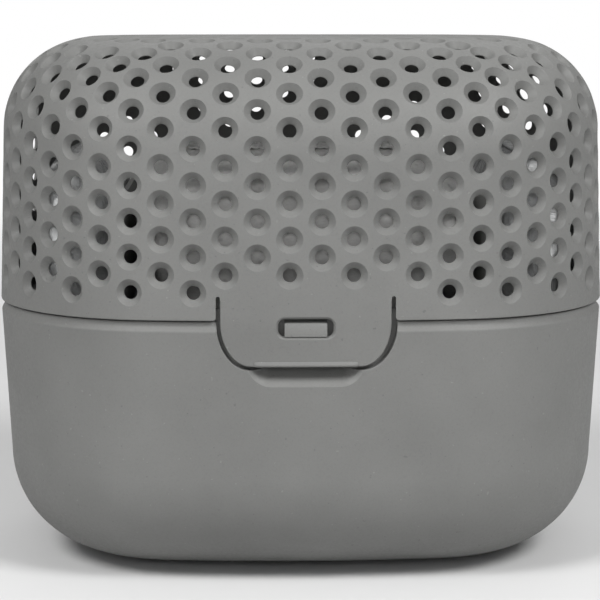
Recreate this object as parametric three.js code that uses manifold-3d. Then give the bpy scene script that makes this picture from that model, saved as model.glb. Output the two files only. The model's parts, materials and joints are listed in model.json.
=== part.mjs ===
// A passive dehumidifier: a perforated lid with a flexing latch tab, hinged at the back of a water tub.
// Inside, a rack on a ledge of the tub carries three sachets of drying crystals, kept apart by dividers.
// Units are millimetres, +Z is up and the latch faces -Y. The origin lies on the floor, below the centre
// of the object's box.
import * as THREE from "three";
import { mergeVertices } from "three/addons/utils/BufferGeometryUtils.js";
import Module from "manifold-3d";

// Driving dimensions of the body
const WIDTH = 200;
const DEPTH = 152;
const TOP_Z = 171;
const SEAM_Z = 86;
const WALL = 2.2;
const FRONT_BOW_RADIUS = 420;
const SIDE_BOW_RADIUS = 400;
const CORNER_RADIUS = 58;
const LID_DRAFT = 0.034;
const LID_EDGE_RADIUS_FRONT = 36;
const LID_EDGE_RADIUS_SIDE = 29.5;
const TUB_DRAFT = 0.052;
const TUB_EDGE_RADIUS = 34;
const TUB_BOTTOM_Z = 1.5;
const GAP = 0.3;
const THROUGH = 1;

// Rim of the tub: a chamfer up to a neck under the seam, a spigot that locates the lid, and a ledge for
// the rack
const RIM_CHAMFER = 1.2;
const NECK_HEIGHT = 1.6;
const SPIGOT_INSET = 2.8;
const SPIGOT_THICKNESS = 1.6;
const SPIGOT_TOP_Z = SEAM_Z + 4;
const LEDGE_Z = 81.2;
const LEDGE_WIDTH = 3;
const LEDGE_HEIGHT = 4;
const SPIGOT_LEAD = 0.5;

// Latch tab in the middle of the front, with its window, and the pocket and finger scoop of the tub
const TAB_HALF_WIDTH = 26.3;
const TAB_FOOT_HALF_WIDTH = 17;
const TAB_TOP_Z = 93.6;
const TAB_CORNER_Z = 85.5;
const TAB_FOOT_Z = 71.7;
const TAB_SLOT = 1.3;
const POCKET_CLEARANCE = 0.6;
const POCKET_SIDE_GAP = 1.25;
const WINDOW_HALF_WIDTH = 8.8;
const WINDOW_LOW_Z = 80.7;
const WINDOW_HIGH_Z = 86.9;
const WINDOW_CORNER_RADIUS = 2.4;
const HOOK_HALF_WIDTH = 6.6;
const HOOK_HEIGHT = 4;
const HOOK_TIP_INSET = 0.7;
const HOOK_RAMP = { run: 0.8, fromZ: 1.2, toZ: 3 };
const SCOOP_HALF_WIDTH = 16;
const SCOOP_LOW_Z = 65.4;
const SCOOP_CORNER_RADIUS = 4;
const SCOOP_DEPTH = 6;
const BOSS_HALF_WIDTH = 31;
const BOSS_THICKNESS = 5.6;
const BOSS_LOW_Z = 62;
const SCOOP_BOSS_HALF_WIDTH = 22;
const SCOOP_BOSS_TOP_Z = TAB_FOOT_Z + 3;
const SKIN_LOW_Z = 60;
const SKIN_HIGH_Z = 100;
const OUT_OF_FRONT = 5;

// Hinges at the back
const HINGE_X = 34;
const HINGE_ROOT_Y = DEPTH / 2 - 3.4;
const HINGE_Y = DEPTH / 2 + 3.2;
const HINGE_Z = SEAM_Z - 1;
const KNUCKLE_RADIUS = 2.9;
const KNUCKLE_WIDTH = 8;
const OUTER_KNUCKLE_WIDTH = 5;
const PIN_RADIUS = 1.2;
const KNUCKLE_SIDES = 20;
const PIN_SIDES = 16;
const ARM_LOW_Z = SEAM_Z + 0.8;
const ARM_TOP_Z = SEAM_Z + 7;
const ARM_BACK_Y = HINGE_Y + KNUCKLE_RADIUS - 0.6;
const WEB_FRONT_Y = HINGE_Y - 1.4;
const WEB_TOP_Z = SEAM_Z + 2;
const BRACKET_HEIGHT = 14;
const BRACKET_TOP_Z = HINGE_Z - 2.4;
const BORE_OVERRUN = 2;

// Rack, dividers and sachets
const RACK_THICKNESS = 2;
const RACK_Z = LEDGE_Z + GAP;
const RACK_CLEARANCE = 0.5;
const RACK_NOTCH_DEPTH = BOSS_THICKNESS + 0.8;
const SLOT_LENGTH = 18;
const SLOT_WIDTH = 3.6;
const SLOT_CORNER_RADIUS = 1.7;
const SLOT_PITCH = 14;
const SLOT_COLUMN_PITCH = 36;
const DIVIDER_X = 57.5;
const DIVIDER_THICKNESS = 1.6;
const DIVIDER_DEPTH = 120;
const DIVIDER_TOP_Z = 122;
const DIVIDER_CORNER_RADIUS = 6;
const SACHET_LOW_Z = RACK_Z + RACK_THICKNESS + GAP;
const SACHET_TOP_Z = 133.5;
const SACHET_SIDE_X = 72.5;
const SACHET_SIDES = 40;
const SACHET_SQUARENESS = 4.5;
// Levels are a share of the height, and how far the sachet is drawn in there
const SACHET_CENTRE = {
  width: 108,
  depth: 134,
  levels: [
    [0, 15],
    [0.12, 10],
    [0.25, 5.5],
    [0.4, 2],
    [0.6, 0],
    [0.8, 1.8],
    [0.92, 5.5],
    [1, 11],
  ],
};
const SACHET_SIDE = {
  width: 26,
  depth: 106,
  levels: [
    [0, 6],
    [0.15, 2.5],
    [0.35, 0.5],
    [0.6, 0],
    [0.8, 1],
    [0.92, 3],
    [1, 7],
  ],
};

// Feet
const FOOT_RADIUS = 7;
const FOOT_TAPER = 0.5;
const FOOT_SIDES = 24;
const FOOT_HEIGHT = 1.2;
const FOOT_X = 48;
const FOOT_Y = 24;

// The knuckles stand out behind the body, so the body moves forward by half of their reach
const BODY_SHIFT_Y = -(HINGE_Y + KNUCKLE_RADIUS - DEPTH / 2) / 2;

const wasm = await Module();
wasm.setup();

// Solids -------------------------------------------------------------------------------------------

function solid(geometry) {
  const bare = geometry.clone();
  bare.deleteAttribute("normal");
  bare.deleteAttribute("uv");
  const welded = mergeVertices(bare, 1e-4);
  const mesh = new wasm.Mesh({
    numProp: 3,
    vertProperties: new Float32Array(welded.attributes.position.array),
    triVerts: new Uint32Array(welded.index.array),
  });
  return new wasm.Manifold(mesh);
}

function geometryOf(manifold) {
  const mesh = manifold.getMesh();
  const geometry = new THREE.BufferGeometry();
  geometry.setAttribute("position", new THREE.BufferAttribute(mesh.vertProperties, 3));
  geometry.setIndex(new THREE.BufferAttribute(mesh.triVerts, 1));
  geometry.computeVertexNormals();
  return geometry;
}

function cut(body, ...tools) {
  return tools.reduce((rest, tool) => rest.subtract(tool), body);
}

function join(body, ...more) {
  return more.reduce((whole, piece) => whole.add(piece), body);
}

function box(x0, x1, y0, y1, z0, z1) {
  const geometry = new THREE.BoxGeometry(x1 - x0, y1 - y0, z1 - z0);
  geometry.translate((x0 + x1) / 2, (y0 + y1) / 2, (z0 + z1) / 2);
  return solid(geometry);
}

function rodAlongX(x0, x1, y, z, radius, sides) {
  const geometry = new THREE.CylinderGeometry(radius, radius, x1 - x0, sides);
  geometry.rotateZ(Math.PI / 2);
  geometry.translate((x0 + x1) / 2, y, z);
  return solid(geometry);
}

// A plate seen from the front: its shape is drawn in X and Z, and it runs back from y0 to y1.
function plateFromFront(shape, y0, y1, curveSegments = 6) {
  const geometry = new THREE.ExtrudeGeometry(shape, { depth: y1 - y0, bevelEnabled: false, curveSegments });
  geometry.rotateX(Math.PI / 2);
  geometry.translate(0, y1, 0);
  return solid(geometry);
}

// A plate seen from above: its shape is drawn in X and Y, and it stands from z0 to z1.
function plateFromAbove(shape, z0, z1, curveSegments = 6) {
  const geometry = new THREE.ExtrudeGeometry(shape, { depth: z1 - z0, bevelEnabled: false, curveSegments });
  geometry.translate(0, 0, z0);
  return solid(geometry);
}

function roundedRectangle(x0, x1, y0, y1, radius) {
  const shape = new THREE.Shape();
  shape.moveTo(x0 + radius, y0);
  shape.lineTo(x1 - radius, y0);
  shape.absarc(x1 - radius, y0 + radius, radius, -Math.PI / 2, 0);
  shape.lineTo(x1, y1 - radius);
  shape.absarc(x1 - radius, y1 - radius, radius, 0, Math.PI / 2);
  shape.lineTo(x0 + radius, y1);
  shape.absarc(x0 + radius, y1 - radius, radius, Math.PI / 2, Math.PI);
  shape.lineTo(x0, y0 + radius);
  shape.absarc(x0 + radius, y0 + radius, radius, Math.PI, 1.5 * Math.PI);
  return shape;
}

// Footprint ----------------------------------------------------------------------------------------
// The body's outline is eight arcs: bowed front, back and sides, and four corners tangent to them.

const BOW_CENTRE_Y = DEPTH / 2 - FRONT_BOW_RADIUS;
const BOW_CENTRE_X = WIDTH / 2 - SIDE_BOW_RADIUS;
const CORNER_CENTRE = tangentCorner();
const BACK_ANGLE = Math.atan2(CORNER_CENTRE.y - BOW_CENTRE_Y, CORNER_CENTRE.x);
const SIDE_ANGLE = Math.atan2(CORNER_CENTRE.y, CORNER_CENTRE.x - BOW_CENTRE_X);

// Centre of the circle that touches the back bow and the right side bow from inside.
function tangentCorner() {
  const toBack = FRONT_BOW_RADIUS - CORNER_RADIUS;
  const toSide = SIDE_BOW_RADIUS - CORNER_RADIUS;
  const back = new THREE.Vector2(0, BOW_CENTRE_Y);
  const along = new THREE.Vector2(BOW_CENTRE_X, 0).sub(back);
  const distance = along.length();
  along.normalize();
  const reach = (toBack ** 2 - toSide ** 2 + distance ** 2) / (2 * distance);
  const offset = Math.sqrt(toBack ** 2 - reach ** 2);
  return back.addScaledVector(along, reach).add(new THREE.Vector2(along.y, -along.x).multiplyScalar(offset));
}

// One quarter of the outline, from the middle of the right side to the middle of the back.
const QUARTER_ARCS = [
  { x: BOW_CENTRE_X, y: 0, radius: SIDE_BOW_RADIUS, from: 0, to: SIDE_ANGLE, steps: 2 },
  {
    x: CORNER_CENTRE.x,
    y: CORNER_CENTRE.y,
    radius: CORNER_RADIUS,
    from: SIDE_ANGLE,
    to: BACK_ANGLE,
    steps: 11,
  },
  { x: 0, y: BOW_CENTRE_Y, radius: FRONT_BOW_RADIUS, from: BACK_ANGLE, to: Math.PI / 2, steps: 5 },
];

// Points of the outline with their outward normals, counter-clockwise from the middle of the right side.
function outlineStations() {
  const quarter = QUARTER_ARCS.flatMap((arc) =>
    Array.from({ length: arc.steps }, (_, i) => {
      const angle = arc.from + ((arc.to - arc.from) * i) / arc.steps;
      const normal = new THREE.Vector2(Math.cos(angle), Math.sin(angle));
      return { x: arc.x + arc.radius * normal.x, y: arc.y + arc.radius * normal.y, normal };
    }),
  );
  quarter.push({ x: 0, y: DEPTH / 2, normal: new THREE.Vector2(0, 1) });
  const mirror = (list, sx, sy) =>
    list.map((p) => ({ x: sx * p.x, y: sy * p.y, normal: new THREE.Vector2(sx * p.normal.x, sy * p.normal.y) }));
  const backwards = [...quarter].reverse();
  return [
    ...quarter.slice(0, -1),
    ...mirror(backwards, -1, 1).slice(0, -1),
    ...mirror(quarter, -1, -1).slice(0, -1),
    ...mirror(backwards, 1, -1).slice(0, -1),
  ];
}

const STATIONS = outlineStations();

// A ring round the body; section(normal) gives how far it lies inside the outline and its height.
function ring(section) {
  return STATIONS.map((station) => {
    const { inset, z } = section(station.normal);
    return [station.x - station.normal.x * inset, station.y - station.normal.y * inset, z];
  });
}

// A closed body through rings from one pole on the Z axis to another. Seen from the outside of the first
// ring, the rings climb; a body whose rings run down instead is turned inside out by flip.
function bodyThroughRings(firstPoleZ, rings, lastPoleZ, flip = false) {
  const count = STATIONS.length;
  const positions = [0, 0, firstPoleZ, ...rings.flat(2), 0, 0, lastPoleZ];
  const last = positions.length / 3 - 1;
  const index = [];
  const triangle = (a, b, c) => (flip ? index.push(a, c, b) : index.push(a, b, c));
  for (let i = 0; i < count; i++) {
    const next = (i + 1) % count;
    triangle(0, 1 + next, 1 + i);
    for (let r = 0; r < rings.length - 1; r++) {
      const low = 1 + r * count;
      const high = low + count;
      triangle(low + i, low + next, high + next);
      triangle(low + i, high + next, high + i);
    }
    triangle(last, last - count + i, last - count + next);
  }
  const geometry = new THREE.BufferGeometry();
  geometry.setAttribute("position", new THREE.Float32BufferAttribute(positions, 3));
  geometry.setIndex(index);
  return solid(geometry);
}

function outlineShape(inset) {
  const shape = new THREE.Shape();
  ring(() => ({ inset, z: 0 })).forEach(([x, y], i) => (i ? shape.lineTo(x, y) : shape.moveTo(x, y)));
  return shape;
}

// Lid ----------------------------------------------------------------------------------------------

const EDGE_STEPS = 8;

// The rounding of the top edge is tight at the sides and wide at the front and back.
function lidEdgeRadius(normal) {
  return THREE.MathUtils.lerp(LID_EDGE_RADIUS_SIDE, LID_EDGE_RADIUS_FRONT, Math.abs(normal.y) ** 1.5);
}

function lidWallInset(z) {
  return LID_DRAFT * (z - SEAM_Z);
}

// The lid's outer face, or the face that lies depth below it, at a turn of 0 to 90 degrees round the edge.
function lidEdgeSection(normal, turn, depth) {
  const radius = lidEdgeRadius(normal);
  const z = TOP_Z - radius + (radius - depth) * Math.sin(turn);
  return { inset: lidWallInset(TOP_Z - radius) + radius - (radius - depth) * Math.cos(turn), z };
}

function lidFace(depth) {
  const turns = Array.from({ length: EDGE_STEPS + 1 }, (_, i) => ((Math.PI / 2) * i) / EDGE_STEPS);
  return turns.map((turn) => ring((normal) => lidEdgeSection(normal, turn, depth)));
}

function lidRim(depth) {
  return ring(() => ({ inset: depth, z: SEAM_Z }));
}

function lidHingeKnuckle(x0, x1) {
  const knuckle = rodAlongX(x0, x1, HINGE_Y, HINGE_Z, KNUCKLE_RADIUS, KNUCKLE_SIDES);
  const arm = box(x0, x1, HINGE_ROOT_Y, ARM_BACK_Y, ARM_LOW_Z, ARM_TOP_Z);
  const web = box(x0, x1, WEB_FRONT_Y, ARM_BACK_Y, HINGE_Z, WEB_TOP_Z);
  return join(knuckle, arm, web);
}

function hingeKnuckleSpans(centre) {
  const inner = KNUCKLE_WIDTH / 2 + GAP;
  return [
    [centre - inner - OUTER_KNUCKLE_WIDTH, centre - inner],
    [centre + inner, centre + inner + OUTER_KNUCKLE_WIDTH],
  ];
}

function makeLid() {
  const faces = [lidRim(WALL), ...lidFace(WALL)].reverse();
  const shell = bodyThroughRings(TOP_Z - WALL, [...faces, lidRim(0), ...lidFace(0)], TOP_Z);
  const halfOpening = TAB_HALF_WIDTH + TAB_SLOT;
  const tabOpening = box(-halfOpening, halfOpening, -DEPTH, -DEPTH / 4, SEAM_Z - 10, TAB_TOP_Z);
  const knuckles = [-HINGE_X, HINGE_X]
    .flatMap(hingeKnuckleSpans)
    .map(([x0, x1]) => lidHingeKnuckle(x0, x1));
  const cavity = lidCavity();
  const bores = [-HINGE_X, HINGE_X].map((x) => hingeBore(x));
  return cut(join(shell, ...knuckles.map((knuckle) => cut(knuckle, cavity))), tabOpening, ...bores);
}

function lidCavity() {
  return bodyThroughRings(SEAM_Z, [lidRim(WALL), ...lidFace(WALL)], TOP_Z - WALL);
}

function hingeBore(x) {
  const half = KNUCKLE_WIDTH / 2 + OUTER_KNUCKLE_WIDTH + BORE_OVERRUN;
  return rodAlongX(x - half, x + half, HINGE_Y, HINGE_Z, PIN_RADIUS + GAP, PIN_SIDES);
}

// Latch tab ----------------------------------------------------------------------------------------

// Outline of the tab with its foot drawn in by two quarter ellipses, grown by a clearance.
function tabShape(clearance, topZ) {
  const half = TAB_HALF_WIDTH + clearance;
  const footHalf = TAB_FOOT_HALF_WIDTH;
  const rise = TAB_CORNER_Z - TAB_FOOT_Z + clearance;
  const shape = new THREE.Shape();
  shape.moveTo(half, topZ);
  shape.lineTo(-half, topZ);
  shape.lineTo(-half, TAB_CORNER_Z);
  shape.absellipse(-footHalf, TAB_CORNER_Z, half - footHalf, rise, Math.PI, 1.5 * Math.PI);
  shape.lineTo(footHalf, TAB_FOOT_Z - clearance);
  shape.absellipse(footHalf, TAB_CORNER_Z, half - footHalf, rise, -Math.PI / 2, 0);
  return shape;
}

// The skin of the front, as thick as the lid, from below the tab's foot to above its top.
function frontSkin(depth, thickness) {
  const section = (z, extra) => ring(() => ({ inset: Math.abs(z - SEAM_Z) * LID_DRAFT + extra, z }));
  const layer = (lowZ, highZ, extra) =>
    bodyThroughRings(lowZ, [lowZ, SEAM_Z, highZ].map((z) => section(z, extra)), highZ);
  const inside = layer(SKIN_LOW_Z - THROUGH, SKIN_HIGH_Z + THROUGH, depth + thickness);
  return cut(layer(SKIN_LOW_Z, SKIN_HIGH_Z, depth), inside);
}

function makeLatchTab() {
  const outline = plateFromFront(tabShape(0, TAB_TOP_Z - GAP), -DEPTH, -DEPTH / 4);
  const windowShape = roundedRectangle(
    -WINDOW_HALF_WIDTH,
    WINDOW_HALF_WIDTH,
    WINDOW_LOW_Z,
    WINDOW_HIGH_Z,
    WINDOW_CORNER_RADIUS,
  );
  const window = plateFromFront(windowShape, -DEPTH, -DEPTH / 4);
  return cut(frontSkin(0, WALL).intersect(outline), window);
}

// Tub ----------------------------------------------------------------------------------------------

function tubWallInset(z) {
  return TUB_DRAFT * (SEAM_Z - z);
}

function tubFace(depth) {
  const turns = Array.from({ length: EDGE_STEPS + 1 }, (_, i) => (Math.PI / 2) * (1 - i / EDGE_STEPS));
  const springZ = TUB_BOTTOM_Z + TUB_EDGE_RADIUS;
  return turns.map((turn) =>
    ring(() => ({
      inset: tubWallInset(springZ) + TUB_EDGE_RADIUS - (TUB_EDGE_RADIUS - depth) * Math.cos(turn),
      z: springZ - (TUB_EDGE_RADIUS - depth) * Math.sin(turn),
    })),
  );
}

function tubRing(inset, z) {
  return ring(() => ({ inset, z }));
}

function makeTubShell() {
  const rimZ = SEAM_Z - GAP;
  const neckZ = rimZ - NECK_HEIGHT;
  const chamferZ = neckZ - RIM_CHAMFER;
  const spigotBack = SPIGOT_INSET + SPIGOT_THICKNESS;
  const ledgeEdge = spigotBack + LEDGE_WIDTH;
  const ledgeFootZ = LEDGE_Z - LEDGE_HEIGHT;
  const skirtZ = ledgeFootZ - 2 * LEDGE_WIDTH;
  return bodyThroughRings(
    TUB_BOTTOM_Z,
    [
      ...tubFace(0),
      tubRing(tubWallInset(chamferZ), chamferZ),
      tubRing(RIM_CHAMFER, neckZ),
      tubRing(RIM_CHAMFER, rimZ),
      tubRing(SPIGOT_INSET, rimZ),
      tubRing(SPIGOT_INSET, SPIGOT_TOP_Z - SPIGOT_LEAD),
      tubRing(SPIGOT_INSET + SPIGOT_LEAD, SPIGOT_TOP_Z),
      tubRing(spigotBack, SPIGOT_TOP_Z),
      tubRing(spigotBack, LEDGE_Z),
      tubRing(ledgeEdge, LEDGE_Z),
      tubRing(ledgeEdge, ledgeFootZ),
      tubRing(tubWallInset(skirtZ) + WALL, skirtZ),
      ...tubFace(WALL).reverse(),
    ],
    TUB_BOTTOM_Z + WALL,
  );
}

// Thickening behind the latch pocket and the scoop, kept inside the tub's outer face.
function tubBoss() {
  const outer = bodyThroughRings(TUB_BOTTOM_Z, [...tubFace(0), tubRing(0, SEAM_Z - GAP)], SEAM_Z - GAP);
  const front = -DEPTH / 2;
  const upperBack = front + BOSS_THICKNESS;
  const lowerBack = front + SCOOP_DEPTH + WALL;
  const half = SCOOP_BOSS_HALF_WIDTH;
  const upper = box(-BOSS_HALF_WIDTH, BOSS_HALF_WIDTH, front, upperBack, BOSS_LOW_Z, SEAM_Z - GAP);
  const lower = box(-half, half, front, lowerBack, BOSS_LOW_Z, SCOOP_BOSS_TOP_Z);
  return join(upper, lower).intersect(outer);
}

function latchPocket() {
  const outline = plateFromFront(tabShape(POCKET_SIDE_GAP, SEAM_Z + THROUGH), -DEPTH, -DEPTH / 4);
  return frontSkin(-OUT_OF_FRONT, OUT_OF_FRONT + WALL + POCKET_CLEARANCE).intersect(outline);
}

function fingerScoop() {
  const front = -DEPTH / 2;
  const shape = roundedRectangle(
    -SCOOP_HALF_WIDTH,
    SCOOP_HALF_WIDTH,
    SCOOP_LOW_Z,
    TAB_FOOT_Z + 2 * SCOOP_CORNER_RADIUS,
    SCOOP_CORNER_RADIUS,
  );
  const pocket = plateFromFront(shape, front - OUT_OF_FRONT, front + SCOOP_DEPTH);
  const half = SCOOP_BOSS_HALF_WIDTH;
  const aboveFoot = box(-half, half, front + WALL + POCKET_CLEARANCE, 0, TAB_FOOT_Z, SEAM_Z);
  return cut(pocket, aboveFoot);
}

// A wedge under which the tab's window catches: flat below, sloping above.
function latchHook() {
  const front = -DEPTH / 2;
  const tipY = front + HOOK_TIP_INSET;
  const rootY = front + WALL + POCKET_CLEARANCE + GAP;
  const lowZ = WINDOW_LOW_Z + 1.5 * GAP;
  const shape = new THREE.Shape();
  shape.moveTo(rootY, lowZ);
  shape.lineTo(rootY, lowZ + HOOK_HEIGHT);
  shape.lineTo(tipY + HOOK_RAMP.run, lowZ + HOOK_RAMP.toZ);
  shape.lineTo(tipY, lowZ + HOOK_RAMP.fromZ);
  shape.lineTo(tipY, lowZ);
  const geometry = new THREE.ExtrudeGeometry(shape, { depth: 2 * HOOK_HALF_WIDTH, bevelEnabled: false });
  geometry.rotateX(Math.PI / 2);
  geometry.rotateZ(Math.PI / 2);
  geometry.translate(-HOOK_HALF_WIDTH, 0, 0);
  return solid(geometry);
}

// A knuckle on a bracket that slopes down to the back wall.
function tubHingeKnuckle(x) {
  const half = KNUCKLE_WIDTH / 2;
  const knuckle = rodAlongX(x - half, x + half, HINGE_Y, HINGE_Z, KNUCKLE_RADIUS, KNUCKLE_SIDES);
  const shape = new THREE.Shape();
  shape.moveTo(HINGE_ROOT_Y, HINGE_Z - BRACKET_HEIGHT);
  shape.lineTo(ARM_BACK_Y, HINGE_Z - KNUCKLE_RADIUS / 2);
  shape.lineTo(ARM_BACK_Y, HINGE_Z);
  shape.lineTo(HINGE_Y, BRACKET_TOP_Z);
  shape.lineTo(HINGE_ROOT_Y, BRACKET_TOP_Z);
  const geometry = new THREE.ExtrudeGeometry(shape, { depth: KNUCKLE_WIDTH, bevelEnabled: false });
  geometry.rotateX(Math.PI / 2);
  geometry.rotateZ(Math.PI / 2);
  geometry.translate(x - half, 0, 0);
  return join(knuckle, solid(geometry));
}

function makeTub() {
  const knuckles = [-HINGE_X, HINGE_X].map((x) => cut(tubHingeKnuckle(x), hingeBore(x)));
  const shell = cut(join(makeTubShell(), tubBoss()), latchPocket(), fingerScoop());
  return join(shell, latchHook(), ...knuckles);
}

// Inside -------------------------------------------------------------------------------------------

// A shelf that follows the ledge, with drain slots under the sachets and a notch behind the latch.
function makeRack() {
  const edge = outlineShape(SPIGOT_INSET + SPIGOT_THICKNESS + RACK_CLEARANCE);
  const shelf = plateFromAbove(edge, RACK_Z, RACK_Z + RACK_THICKNESS);
  const lowZ = RACK_Z - THROUGH;
  const highZ = RACK_Z + RACK_THICKNESS + THROUGH;
  const front = -DEPTH / 2;
  const notchHalf = BOSS_HALF_WIDTH + RACK_CLEARANCE;
  const notch = box(-notchHalf, notchHalf, front, front + RACK_NOTCH_DEPTH, lowZ, highZ);
  const slots = [];
  for (const x of [-1, 0, 1].map((side) => side * SLOT_COLUMN_PITCH)) {
    for (let row = -2; row <= 2; row++) {
      const y0 = row * SLOT_PITCH - SLOT_WIDTH / 2;
      const half = SLOT_LENGTH / 2;
      const shape = roundedRectangle(x - half, x + half, y0, y0 + SLOT_WIDTH, SLOT_CORNER_RADIUS);
      slots.push(plateFromAbove(shape, lowZ, highZ, 3));
    }
  }
  return cut(shelf, notch, ...slots);
}

// An upright plate with rounded corners that keeps two sachets apart.
function makeDivider(x) {
  const half = DIVIDER_DEPTH / 2;
  const shape = roundedRectangle(-half, half, SACHET_LOW_Z, DIVIDER_TOP_Z, DIVIDER_CORNER_RADIUS);
  const settings = { depth: DIVIDER_THICKNESS, bevelEnabled: false, curveSegments: 5 };
  const geometry = new THREE.ExtrudeGeometry(shape, settings);
  geometry.rotateX(Math.PI / 2);
  geometry.rotateZ(Math.PI / 2);
  geometry.translate(x - DIVIDER_THICKNESS / 2, 0, 0);
  return geometry;
}

// A soft, filled sachet: level rings with rounded corners, fullest above the middle and drawn in at the top
// and the bottom.
function makeSachet(x, { width, depth, levels }) {
  const height = SACHET_TOP_Z - SACHET_LOW_Z;
  const power = 2 / SACHET_SQUARENESS;
  const swell = (value) => Math.sign(value) * Math.abs(value) ** power;
  const positions = [];
  const index = [];
  for (const [share, inset] of levels) {
    for (let i = 0; i < SACHET_SIDES; i++) {
      const angle = (i * 2 * Math.PI) / SACHET_SIDES;
      const ringX = (width / 2 - inset) * swell(Math.cos(angle));
      const ringY = (depth / 2 - inset) * swell(Math.sin(angle));
      positions.push(x + ringX, ringY, SACHET_LOW_Z + share * height);
    }
  }
  const bottom = positions.length / 3;
  const top = bottom + 1;
  positions.push(x, 0, SACHET_LOW_Z, x, 0, SACHET_TOP_Z);
  for (let i = 0; i < SACHET_SIDES; i++) {
    const next = (i + 1) % SACHET_SIDES;
    index.push(bottom, next, i);
    for (let level = 0; level < levels.length - 1; level++) {
      const low = level * SACHET_SIDES;
      const high = low + SACHET_SIDES;
      index.push(low + i, low + next, high + next, low + i, high + next, high + i);
    }
    index.push(top, bottom - SACHET_SIDES + i, bottom - SACHET_SIDES + next);
  }
  const geometry = new THREE.BufferGeometry();
  geometry.setAttribute("position", new THREE.Float32BufferAttribute(positions, 3));
  geometry.setIndex(index);
  geometry.computeVertexNormals();
  return geometry;
}

function makeFoot(x, y) {
  const radius = FOOT_RADIUS - FOOT_TAPER;
  const geometry = new THREE.CylinderGeometry(radius, FOOT_RADIUS, FOOT_HEIGHT, FOOT_SIDES);
  geometry.rotateX(Math.PI / 2);
  geometry.translate(x, y, FOOT_HEIGHT / 2);
  return geometry;
}

function makePin(x) {
  const half = KNUCKLE_WIDTH / 2 + GAP + OUTER_KNUCKLE_WIDTH;
  return geometryOf(rodAlongX(x - half, x + half, HINGE_Y, HINGE_Z, PIN_RADIUS, PIN_SIDES));
}

// Assembly -----------------------------------------------------------------------------------------

function plastic(colour, roughness) {
  return new THREE.MeshStandardMaterial({ color: colour, roughness, metalness: 0 });
}

const GREY_PLASTIC = plastic(0x8c8d8a, 0.62);
const PALE_PLASTIC = plastic(0xb9bab6, 0.5);
const NONWOVEN = plastic(0xc9c8c2, 0.9);
const FILM = plastic(0xc4c6c6, 0.25);
const RUBBER = plastic(0x2f3030, 0.85);
const STEEL = new THREE.MeshStandardMaterial({ color: 0xb0b2b4, roughness: 0.35, metalness: 1 });

const body = new THREE.Group();
body.position.y = BODY_SHIFT_Y;

function addPart(name, geometry, material) {
  const mesh = new THREE.Mesh(geometry, material);
  mesh.name = name;
  body.add(mesh);
}

addPart("base_tub", geometryOf(makeTub()), GREY_PLASTIC);
addPart("lid_shell", geometryOf(makeLid()), GREY_PLASTIC);
addPart("latch_tab", geometryOf(makeLatchTab()), GREY_PLASTIC);
addPart("bag_rack", geometryOf(makeRack()), PALE_PLASTIC);
for (const [side, sign] of [["left", -1], ["right", 1]]) {
  addPart(`hinge_pin_${side}`, makePin(sign * HINGE_X), STEEL);
  addPart(`divider_${side}`, makeDivider(sign * DIVIDER_X), PALE_PLASTIC);
  addPart(`sachet_${side}`, makeSachet(sign * SACHET_SIDE_X, SACHET_SIDE), FILM);
  for (const [end, along] of [["front", -1], ["back", 1]]) {
    addPart(`foot_${end}_${side}`, makeFoot(sign * FOOT_X, along * FOOT_Y), RUBBER);
  }
}
addPart("sachet_centre", makeSachet(0, SACHET_CENTRE), NONWOVEN);

const dehumidifier = new THREE.Group();
dehumidifier.add(body);

export default dehumidifier;
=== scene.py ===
"""Looks of a passive dehumidifier: a vented lid with a latch tab, hinged on a tub that holds drying sachets.

Shapes are worked out in millimetres, in the body's own frame (X right, Y back, origin below the middle of
the body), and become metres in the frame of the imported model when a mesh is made.
"""
import json
import math

import bmesh
import bpy
import numpy as np
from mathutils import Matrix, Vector


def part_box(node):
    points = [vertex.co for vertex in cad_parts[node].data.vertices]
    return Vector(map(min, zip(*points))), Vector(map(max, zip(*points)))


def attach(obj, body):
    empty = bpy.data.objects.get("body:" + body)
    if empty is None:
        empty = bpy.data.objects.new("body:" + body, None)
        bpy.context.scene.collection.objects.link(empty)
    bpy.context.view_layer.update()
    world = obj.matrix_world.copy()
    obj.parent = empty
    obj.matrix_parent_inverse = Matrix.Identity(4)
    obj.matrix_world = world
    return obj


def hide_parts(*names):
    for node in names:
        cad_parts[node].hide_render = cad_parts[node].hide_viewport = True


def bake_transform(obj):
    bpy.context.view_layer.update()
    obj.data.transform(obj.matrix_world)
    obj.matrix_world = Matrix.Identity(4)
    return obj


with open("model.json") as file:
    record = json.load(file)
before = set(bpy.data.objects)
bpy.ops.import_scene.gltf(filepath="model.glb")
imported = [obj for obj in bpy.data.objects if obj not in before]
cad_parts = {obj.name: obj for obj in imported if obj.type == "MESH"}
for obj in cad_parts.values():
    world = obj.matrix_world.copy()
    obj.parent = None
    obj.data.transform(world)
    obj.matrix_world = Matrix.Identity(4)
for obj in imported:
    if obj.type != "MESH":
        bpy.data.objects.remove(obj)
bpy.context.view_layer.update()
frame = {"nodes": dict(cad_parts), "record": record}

MM = 0.001

# The body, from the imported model
LID_LOW, LID_HIGH = [np.array(corner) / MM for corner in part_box("lid_shell")]
TUB_BOTTOM_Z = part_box("base_tub")[0][2] / MM
WIDTH = LID_HIGH[0] - LID_LOW[0]
TOP_Z = LID_HIGH[2]
DEPTH = 0.76 * WIDTH
BODY_Y = LID_LOW[1] + DEPTH / 2
FRONT = -DEPTH / 2

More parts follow.
